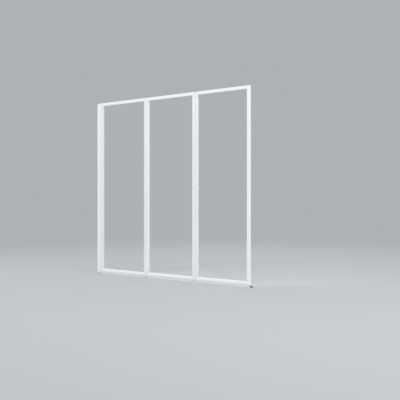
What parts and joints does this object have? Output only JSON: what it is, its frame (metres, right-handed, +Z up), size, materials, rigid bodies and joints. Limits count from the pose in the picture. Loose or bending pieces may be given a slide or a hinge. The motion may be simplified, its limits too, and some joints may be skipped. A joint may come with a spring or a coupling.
{
  "type": "folding bath screen",
  "caption": "Folding bath screen with slim white frames, clear glass, concertina hinges and a slim wall profile.",
  "frame": {"origin": "on the wall plane, in the screen's middle plane, at the middle screw hole of the wall profile, half way up the frames", "axes": "+X from the wall along the bath's rim, +Y from the room into the bath, +Z up; the bath's rim is at Z = -0.611 m"},
  "size_m": [1.279, 0.028, 1.21],
  "materials": {
    "white_frame": "satin",
    "white_hinges": "satin",
    "white_screws": "satin",
    "white_plastic": "satin",
    "glass": "polished",
    "gasket": "matte",
    "dark_rubber": "matte",
    "clear_pvc": "satin",
    "steel": "satin",
    "zinc": "matte",
    "nylon": "matte"
  },
  "bodies": {
    "wall_side": {"wall_profile": "white_frame", "jamb_profile": "white_frame", "jamb_top_cap": "white_plastic", "jamb_bottom_cap": "white_plastic", "jamb_screws": "steel", "jamb_screw_covers": "white_plastic", "jamb_bushes": "nylon", "jamb_gap_seal": "dark_rubber"},
    "near_wing": {"near_wing_inner_stile": "white_frame", "near_wing_outer_stile": "white_frame", "near_wing_top_rail": "white_frame", "near_wing_bottom_rail": "white_frame", "near_wing_corner_keys": "zinc", "near_wing_key_screws": "white_screws", "near_wing_glass": "glass", "near_wing_gasket": "gasket", "near_wing_bottom_seal": "clear_pvc", "near_wing_leaves": "white_hinges", "near_wing_leaf_screws": "steel", "near_wing_hinge_pins": "steel", "near_wing_bushes": "nylon", "near_wing_gap_seal": "dark_rubber"},
    "middle_wing": {"middle_wing_inner_stile": "white_frame", "middle_wing_outer_stile": "white_frame", "middle_wing_top_rail": "white_frame", "middle_wing_bottom_rail": "white_frame", "middle_wing_corner_keys": "zinc", "middle_wing_key_screws": "white_screws", "middle_wing_glass": "glass", "middle_wing_gasket": "gasket", "middle_wing_bottom_seal": "clear_pvc", "middle_wing_leaves": "white_hinges", "middle_wing_leaf_screws": "steel", "middle_wing_hinge_pins": "steel", "middle_wing_bushes": "nylon", "middle_wing_gap_seal": "dark_rubber"},
    "free_wing": {"free_wing_inner_stile": "white_frame", "free_wing_outer_stile": "white_frame", "free_wing_top_rail": "white_frame", "free_wing_bottom_rail": "white_frame", "free_wing_corner_keys": "zinc", "free_wing_key_screws": "white_screws", "free_wing_glass": "glass", "free_wing_gasket": "gasket", "free_wing_bottom_seal": "clear_pvc", "free_wing_leaves": "white_hinges", "free_wing_leaf_screws": "steel", "free_wing_hinge_pins": "steel", "seal_end_plug": "dark_rubber"}
  },
  "joints": [
    {"name": "wall_fold", "type": "hinge", "parent": "wall_side", "child": "near_wing", "pos_m": [0.03175, 0.0095, 0], "axis": [0, 0, 1], "range_deg": [0, 90]},
    {"name": "middle_fold", "type": "hinge", "parent": "near_wing", "child": "middle_wing", "pos_m": [0.45325, -0.0095, 0], "axis": [0, 0, 1], "range_deg": [-180, 0]},
    {"name": "free_fold", "type": "hinge", "parent": "middle_wing", "child": "free_wing", "pos_m": [0.85575, 0.0095, 0], "axis": [0, 0, 1], "range_deg": [0, 180]}
  ]
}
